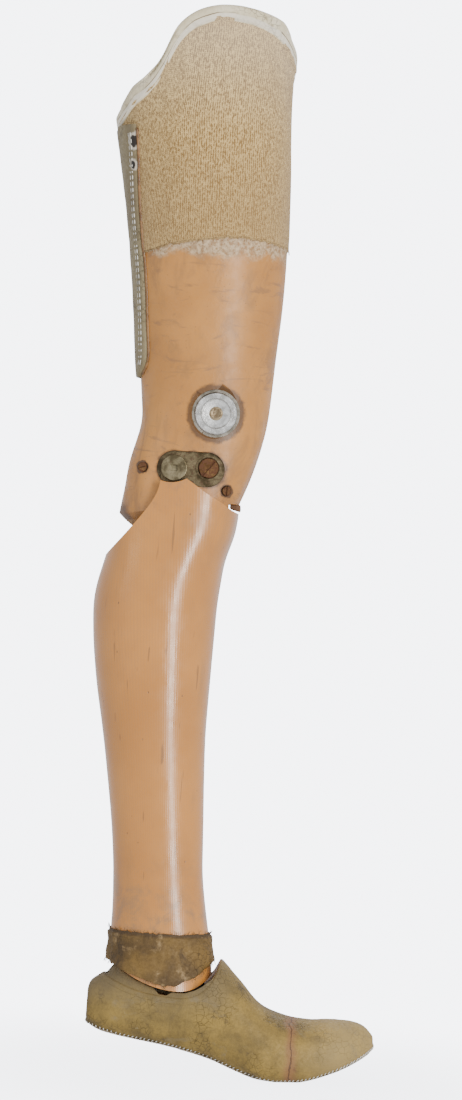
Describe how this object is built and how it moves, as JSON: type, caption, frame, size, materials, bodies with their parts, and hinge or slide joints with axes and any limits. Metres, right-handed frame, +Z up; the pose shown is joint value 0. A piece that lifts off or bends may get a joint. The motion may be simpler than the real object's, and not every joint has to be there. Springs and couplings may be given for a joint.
{
  "type": "prosthetic leg",
  "caption": "Above-knee prosthetic leg: leather-rimmed suction socket, single-axis knee, hollow lacquered shin, leather-covered foot with ankle and toe joints.",
  "frame": {"origin": "on the socket's axis, level with the ischial seat, where the wearer's body meets the leg", "axes": "+X to the toes, +Y to the inner (medial) side, +Z up along the leg"},
  "size_m": [0.2769, 0.1584, 0.936],
  "materials": {
    "lacquered_laminate": "flesh-coloured lacquer over a resin and stockinette laminate, satin, scuffed",
    "hardwood": "varnished wood",
    "stockinette": "fine knit stockinette, speckled cream on brown",
    "brim_leather": "pale worn leather",
    "strip_leather": "grey-olive worn leather with pale double stitching",
    "foot_leather": "olive-brown dirty thin leather",
    "cuff_leather": "torn olive-brown leather",
    "buffer_leather": "dark pressed leather",
    "sole_leather": "worn leather sole",
    "steel": "dull steel with light rust",
    "rusty_screw": "rusty steel screw",
    "bronze": "dull bronze",
    "valve_aluminium": "dull aluminium",
    "valve_brown": "brown moulded knob",
    "black_rubber": "black rubber"
  },
  "bodies": {
    "thigh": {"thigh_shell": "lacquered_laminate", "knee_block": "hardwood", "stockinette_sleeve": "stockinette", "brim_binding": "brim_leather", "ischial_seat_pad": "brim_leather", "rear_strip": "strip_leather", "bearing_plate_outer": "steel", "bearing_plate_inner": "steel", "bearing_plate_screws": "rusty_screw", "knee_bushes": "bronze", "knee_block_screws": "rusty_screw", "extension_buffer": "buffer_leather", "valve_housing": "valve_aluminium", "valve_gasket": "black_rubber", "valve_body": "valve_aluminium", "valve_flap": "black_rubber", "valve_spring": "steel"},
    "valve_button": {"valve_button": "valve_brown"},
    "shin": {"shin_shell": "lacquered_laminate", "knee_strap_outer": "steel", "knee_strap_inner": "steel", "strap_rivets": "steel", "knee_axle": "steel", "knee_axle_cap": "steel", "ankle_block": "hardwood", "ankle_cuff": "cuff_leather", "ankle_stirrup": "steel", "stirrup_washer": "steel", "stirrup_nut": "steel"},
    "foot": {"foot_block": "hardwood", "foot_upper": "foot_leather", "foot_sole": "sole_leather", "ankle_pin": "steel", "heel_bumper": "black_rubber", "instep_bumper": "black_rubber", "toe_hinge_rear_leaf": "steel", "toe_hinge_pin": "steel", "toe_bumper": "black_rubber"},
    "toe": {"toe_block": "hardwood", "toe_upper": "foot_leather", "toe_sole": "sole_leather", "toe_hinge_front_leaf": "steel"}
  },
  "joints": [
    {"name": "knee_flexion", "type": "hinge", "parent": "thigh", "child": "shin", "pos_m": [-0.008, 0, -0.315], "axis": [0, 1, 0], "range_deg": [0, 110]},
    {"name": "ankle", "type": "hinge", "parent": "shin", "child": "foot", "pos_m": [0.01, 0, -0.783], "axis": [0, 1, 0], "range_deg": [-3, 10], "stiffness_Nm_per_rad": 60, "deforming": ["heel_bumper", "instep_bumper"]},
    {"name": "toe", "type": "hinge", "parent": "foot", "child": "toe", "pos_m": [0.123, 0, -0.836], "axis": [0, -1, 0], "range_deg": [0, 15], "stiffness_Nm_per_rad": 8, "deforming": ["toe_bumper"]},
    {"name": "valve_button", "type": "slide", "parent": "thigh", "child": "valve_button", "axis": [0, 1, 0], "range_m": [0, 0.002], "stiffness_N_per_m": 1500, "deforming": ["valve_spring"]}
  ]
}
